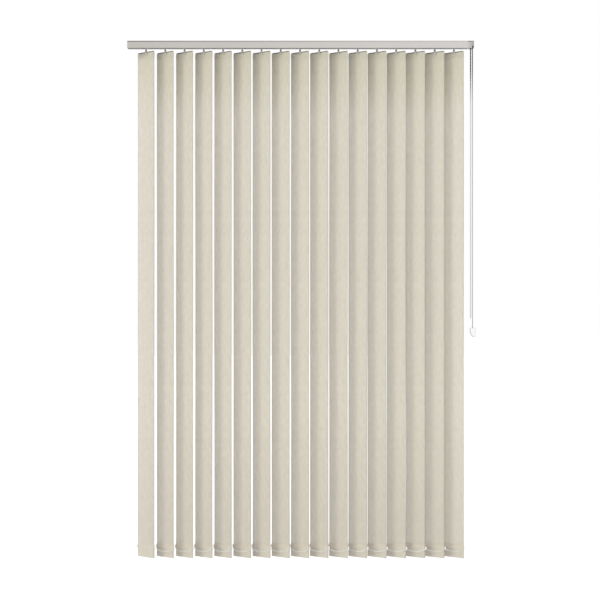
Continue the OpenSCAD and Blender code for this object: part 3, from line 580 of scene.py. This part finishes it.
def weight_mesh():
    s = Solid()
    edge = 0.3 * MM
    s.plate([rounded(0, WEIGHT_LOW + WEIGHT_HEIGHT / 2, WEIGHT_WIDTH, WEIGHT_HEIGHT, PLATE_CORNER)],
            WEIGHT_SHEET, edge)
    s.plate([rounded(0, ARM_TOP - ARM_HEIGHT / 2, 2 * PIN_X, ARM_HEIGHT, 0.8 * MM)], WEIGHT_SHEET, edge)
    low = ARM_TOP - ARM_HEIGHT
    for side in (-1, 1):
        foot = ARM_HEIGHT + PIN_LENGTH + BULB
        bulb = [(BULB * math.sin(a), foot - BULB * math.cos(a)) for a in spread(0.45, math.pi / 2, 5)]
        head = foot + BULB_HEIGHT - 2 * BULB
        bulb += [(BULB * math.cos(a), head + BULB * math.sin(a)) for a in spread(0, 1.45, 5)]
        s.lathe([(PIN_RADIUS - edge, 0), (PIN_RADIUS, edge)] + bulb, 20, (side * PIN_X, 0, low))
    return s.mesh("bottom_weight", CLIP_LOOK)


def beads_along(points, radius, thread, steps, closed=False):
    """Stations of a beaded strand whose bead middles are the given points."""
    stations = []
    first = math.asin(thread / radius)
    last = len(points) - 1
    for k, middle in enumerate(points):
        before = points[k - 1] if k or closed else middle
        after = points[k + 1] if k < last else points[0] if closed else middle
        tangent = (after - before).normalized()
        for a in spread(first, math.pi - first, steps):
            stations.append((middle - tangent * radius * math.cos(a), tangent, radius * math.sin(a)))
    return stations


def swag_points():
    wall = (EYELET_RADIUS + EYELET_BORE) / 2
    high = ARM_TOP + EYELET_GAP + EYELET_HEIGHT / 2
    return [Vector((wall + t * (PITCH - 2 * wall), 0, high - 4 * SWAG_SAG * t * (1 - t)))
            for t in spread(0, 1, SWAG_LINKS)]


def eyelet_mesh():
    """The two eyelets of one vane, on its pins."""
    s = Solid()
    low = ARM_TOP + EYELET_GAP
    for side in (-1, 1):
        s.washer(EYELET_BORE, EYELET_RADIUS, low, low + EYELET_HEIGHT, 0.3 * MM, 20, (side * PIN_X, 0, 0))
    return s.mesh("eyelets", SMALL_CHAIN_LOOK)


def bottom_chain_mesh(name, side):
    """The beads between the eyelets of one bottom chain."""
    s = Solid()
    points = swag_points()
    for i in range(1, VANE_COUNT):
        at = Vector((stem_x(i) + side * PIN_X * math.cos(TILT), -side * PIN_X * math.sin(TILT), 0))
        moved = [at + p for p in points]
        stations = beads_along(moved[1:-1], SMALL_BEAD, SMALL_THREAD, 6)
        start, end = moved[0], moved[-1]
        stations = [(start, (moved[1] - start).normalized(), SMALL_THREAD)] + stations
        stations.append((end, (end - moved[-2]).normalized(), SMALL_THREAD))
        s.sweep(stations, Vector((0, 1, 0)), 10)
    return s.mesh(name, SMALL_CHAIN_LOOK)


def control_beads():
    """The control loop's bead middles, from the foot of the front strand round and back to it."""
    step = 2 * math.pi / SPROCKET_BEADS
    radius = CHAIN_PITCH / 2 / math.sin(step / 2)
    foot = ROD_Z - DROP_BEADS * CHAIN_PITCH
    turn = range(1, SPROCKET_BEADS // 2 + 1)

    def on(angle, z):
        return Vector((CHAIN_X, ROD_Y + radius * math.cos(angle), z + radius * math.sin(angle)))

    front = [Vector((CHAIN_X, ROD_Y - radius, ROD_Z - (k + 0.5) * CHAIN_PITCH)) for k in range(DROP_BEADS)]
    rear = [Vector((CHAIN_X, ROD_Y + radius, ROD_Z - k * CHAIN_PITCH)) for k in range(DROP_BEADS + 1)]
    over = [on(k * step, ROD_Z) for k in turn]
    under = [on(-k * step, foot) for k in turn]
    return front[::-1] + over[::-1] + rear + under


def control_chain():
    beads = control_beads()
    s = Solid()
    s.sweep(beads_along(beads, CHAIN_BEAD, CHAIN_THREAD, 8, closed=True), Vector((1, 0, 0)), 12, closed=True)
    piece = place("control_chain_beads", s.mesh("control_chain_beads", CHAIN_LOOK, 60), ROOT)
    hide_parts("control_chain")


def cord_points():
    """The hanging loop's middle line, finer round the weight's pin."""
    down = [Vector((CORD_X, CORD_REAR, z)) for z in spread(CORD_JOIN, CORD_PIN_Z, 8)]
    turn = [Vector((CORD_X, CORD_MIDDLE + CORD_LOOP * math.cos(a), CORD_PIN_Z - CORD_LOOP * math.sin(a)))
            for a in spread(0, math.pi, 20)[1:]]
    up = [Vector((CORD_X, CORD_FRONT, z)) for z in spread(CORD_PIN_Z, CORD_JOIN, 8)[1:]]
    return down + turn + up


def draw_cord():
    points = cord_points()
    curve = bpy.data.curves.new("draw_cord_braid", "CURVE")
    curve.dimensions = "3D"
    spline = curve.splines.new("POLY")
    spline.points.add(len(points) - 1)
    for point, middle in zip(spline.points, points):
        point.co = (*middle, 1)
    curve.bevel_depth = CORD_RADIUS
    curve.bevel_resolution = 4
    curve.materials.append(CORD_LOOK)
    piece = place("draw_cord_braid", curve, ROOT)
    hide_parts("draw_cord")
    return piece, points


def quarter(x, z, radius, start):
    """A quarter of a circle about a point, clockwise from an angle up from x."""
    return [(x + radius * math.cos(a), z + radius * math.sin(a))
            for a in spread(start, start - math.pi / 2, 4)]


def cord_weight_outline():
    """The weight from the front as (x, z) points: straight on the right, swept in to a narrow foot."""
    width, foot, height, shoulder, corner = 21 * MM, 9 * MM, 37 * MM, 9 * MM, 1.5 * MM
    lean, fall = width - foot, height - shoulder
    bow = (lean * lean + fall * fall) / (2 * lean)
    right, left = width / 2, -width / 2
    foot_turn = 0.985 * math.asin(fall / bow)
    swept = [(left + bow - bow * math.cos(a), -shoulder - bow * math.sin(a)) for a in spread(foot_turn, 0, 14)]
    return (quarter(right - corner, -corner, corner, math.pi / 2)
            + quarter(right - corner, corner - height, corner, 0)
            + swept + quarter(left + corner, -corner, corner, math.pi))


def cord_weight():
    """The white weight, with soft edges and a slot for the loop."""
    depth, voxel = 16 * MM, 0.6 * MM
    slot_half, slot_high, slot_low = 2 * MM, 2 * MM, -9 * MM - CORD_LOOP - 2 * CORD_RADIUS
    s = Solid()
    outline = cord_weight_outline()
    front = [s.bm.verts.new((x, -depth / 2, z)) for x, z in outline]
    back = [s.bm.verts.new((x, depth / 2, z)) for x, z in outline]
    s.join(front, back)
    s.bm.faces.new(front)
    s.bm.faces.new(back)
    mesh = s.mesh("cord_weight_body", CORD_WEIGHT_LOOK, 50)
    at = Matrix.Translation((CORD_X, CORD_MIDDLE, CORD_WEIGHT_TOP))
    piece = place("cord_weight_body", mesh, ROOT, at)
    cutter = bpy.data.meshes.new("slot")
    bm = bmesh.new()
    slot_middle = Matrix.Translation((0, 0, (slot_low + slot_high) / 2))
    slot_size = Matrix.Diagonal((2 * slot_half, 2 * (CORD_LOOP + 2 * CORD_RADIUS), slot_high - slot_low, 1))
    bmesh.ops.create_cube(bm, size=1.0, matrix=slot_middle @ slot_size)
    bm.to_mesh(cutter)
    bm.free()
    tool = bpy.data.objects.new("slot", cutter)
    scene.collection.objects.link(tool)
    tool.matrix_world = piece.matrix_world
    body = piece.modifiers.new("body", "REMESH")
    body.mode = "VOXEL"
    body.voxel_size = voxel
    ease = piece.modifiers.new("ease", "SMOOTH")
    ease.factor = 0.5
    ease.iterations = 45
    cut = piece.modifiers.new("slot", "BOOLEAN")
    cut.object = tool
    cut.solver = "EXACT"
    bpy.context.view_layer.update()
    made = bpy.data.meshes.new_from_object(piece.evaluated_get(bpy.context.evaluated_depsgraph_get()))
    made.materials.clear()
    made.materials.append(CORD_WEIGHT_LOOK)
    made.shade_smooth()
    piece.modifiers.clear()
    piece.data = made
    bpy.data.objects.remove(tool)
    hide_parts("cord_weight")
    return piece


# Finishes of the CAD parts that stay as they are.
looks = {"headrail": RAIL_LOOK, "control_end_cap": CAP_LOOK, "return_end_cap": RETURN_LOOK,
         "tilt_rod": ROD_LOOK, "rail_cord": CORD_LOOK}
for name in ("mounting_clips", "cord_weight_pin", "cord_pulley_axle", "return_pulley_axle", "anchor_link"):
    looks[name] = STEEL_LOOK
for name, node in NODES.items():
    node.data.materials.clear()
    node.data.materials.append(looks.get(name, MOULDED_LOOK))

# Cords and chains.
control_chain()
weight_piece = cord_weight()
cord_piece, cord_path = draw_cord()
for name, side in (("front_chain", 1), ("rear_chain", -1)):
    chain = place(name + "_beads", bottom_chain_mesh(name + "_beads", side), name)
    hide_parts(name)
    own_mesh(chain)

# Vanes.
stem, hanger, weight, eyelets = stem_mesh(), hanger_mesh(), weight_mesh(), eyelet_mesh()
cloth_length = round(fabric_length(), 3)
for i in range(1, VANE_COUNT + 1):
    n = f"{i:02d}"
    body = "vane_" + n
    at = Matrix.Translation((stem_x(i), 0, 0)) @ Matrix.Rotation(-TILT, 4, "Z")
    cloth = place("fabric_" + n, fabric_mesh(i), body, at)
    shell = cloth.modifiers.new("thickness", "SOLIDIFY")
    shell.thickness = FABRIC
    shell.offset = 0
    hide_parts(body)
    for kind, mesh, slot in (("stem", stem, "moulding"), ("hanger", hanger, "moulding"),
                             ("bottom_weight", weight, "moulding"), ("eyelets", eyelets, "chain")):
        place(f"{kind}_{n}", mesh, body, at)

# Stage, light and camera.
FLOOR_Z, FLOOR_REACH, FLOOR_GLOW = -2.3, 40, 0.46
AMBIENT_TINT, AMBIENT_LEVEL, AMBIENT_LEAN = (0.985, 1.005, 1.075, 1), 0.705, (-0.10, -0.28, 0.0)
KEY_TOWARD, KEY_STRENGTH, KEY_ANGLE, KEY_TINT = (0.694, 0.583, -0.423), 0.86, 29, (1.0, 0.97, 0.77)
EYE = (0, -5.0, -1.1447)


def two_inputs(tree, operation, first, second, kind="ShaderNodeMath"):
    """A math node of a socket with another socket or a constant."""
    made = tree.nodes.new(kind)
    made.operation = operation
    tree.links.new(first, made.inputs[0])
    if isinstance(second, bpy.types.NodeSocket):
        tree.links.new(second, made.inputs[1])
    else:
        made.inputs[1].default_value = second
    return made


floor_look = bpy.data.materials.new("floor")
floor_look.use_nodes = True
tree = floor_look.node_tree
tree.nodes.clear()
paint = tree.nodes.new("ShaderNodeBsdfDiffuse")
paint.inputs[0].default_value = (0.85, 0.85, 0.85, 1)
glow = tree.nodes.new("ShaderNodeEmission")
ray = tree.nodes.new("ShaderNodeLightPath").outputs
seen = two_inputs(tree, "MAXIMUM", ray["Is Camera Ray"], ray["Is Glossy Ray"]).outputs[0]
tree.links.new(two_inputs(tree, "MULTIPLY", seen, FLOOR_GLOW).outputs[0], glow.inputs[1])
both = tree.nodes.new("ShaderNodeAddShader")
tree.links.new(paint.outputs[0], both.inputs[0])
tree.links.new(glow.outputs[0], both.inputs[1])
tree.links.new(both.outputs[0], tree.nodes.new("ShaderNodeOutputMaterial").inputs[0])
floor_mesh = bpy.data.meshes.new("floor")
corners = [(x * FLOOR_REACH, y * FLOOR_REACH, FLOOR_Z) for x, y in ((-1, -1), (1, -1), (1, 1), (-1, 1))]
floor_mesh.from_pydata(corners, [], [(0, 1, 2, 3)])
floor_mesh.materials.append(floor_look)
floor = bpy.data.objects.new("floor", floor_mesh)
scene.collection.objects.link(floor)

world = bpy.data.worlds.new("studio")
scene.world = world
world.use_nodes = True
tree = world.node_tree
tree.nodes.clear()
ray = tree.nodes.new("ShaderNodeLightPath").outputs
seen = two_inputs(tree, "MAXIMUM", ray["Is Camera Ray"], ray["Is Glossy Ray"]).outputs[0]
seen = two_inputs(tree, "MAXIMUM", seen, ray["Is Transmission Ray"]).outputs[0]
ambient = tree.nodes.new("ShaderNodeBackground")
ambient.inputs[0].default_value = AMBIENT_TINT
direction = tree.nodes.new("ShaderNodeTexCoord").outputs["Generated"]
lean = two_inputs(tree, "DOT_PRODUCT", direction, AMBIENT_LEAN, "ShaderNodeVectorMath").outputs["Value"]
tree.links.new(two_inputs(tree, "ADD", lean, AMBIENT_LEVEL).outputs[0], ambient.inputs[1])
white = tree.nodes.new("ShaderNodeBackground")
white.inputs[0].default_value = (1, 1, 1, 1)
white.inputs[1].default_value = 1.0
either = tree.nodes.new("ShaderNodeMixShader")
tree.links.new(seen, either.inputs[0])
tree.links.new(ambient.outputs[0], either.inputs[1])
tree.links.new(white.outputs[0], either.inputs[2])
tree.links.new(either.outputs[0], tree.nodes.new("ShaderNodeOutputWorld").inputs[0])

lamp = bpy.data.lights.new("key", "SUN")
lamp.energy = KEY_STRENGTH
lamp.angle = math.radians(KEY_ANGLE)
lamp.color = KEY_TINT
key = bpy.data.objects.new("key", lamp)
key.rotation_euler = Vector(KEY_TOWARD).to_track_quat("-Z", "Y").to_euler()
scene.collection.objects.link(key)

camera = bpy.data.cameras.new("camera")
camera.sensor_width = 36
camera.lens = 74.0
camera.shift_y = 0.04
camera.clip_end = 200
eye = bpy.data.objects.new("camera", camera)
eye.location = EYE
eye.rotation_euler = (math.pi / 2, 0, 0)
scene.collection.objects.link(eye)
scene.camera = eye
scene.view_settings.view_transform = "Standard"
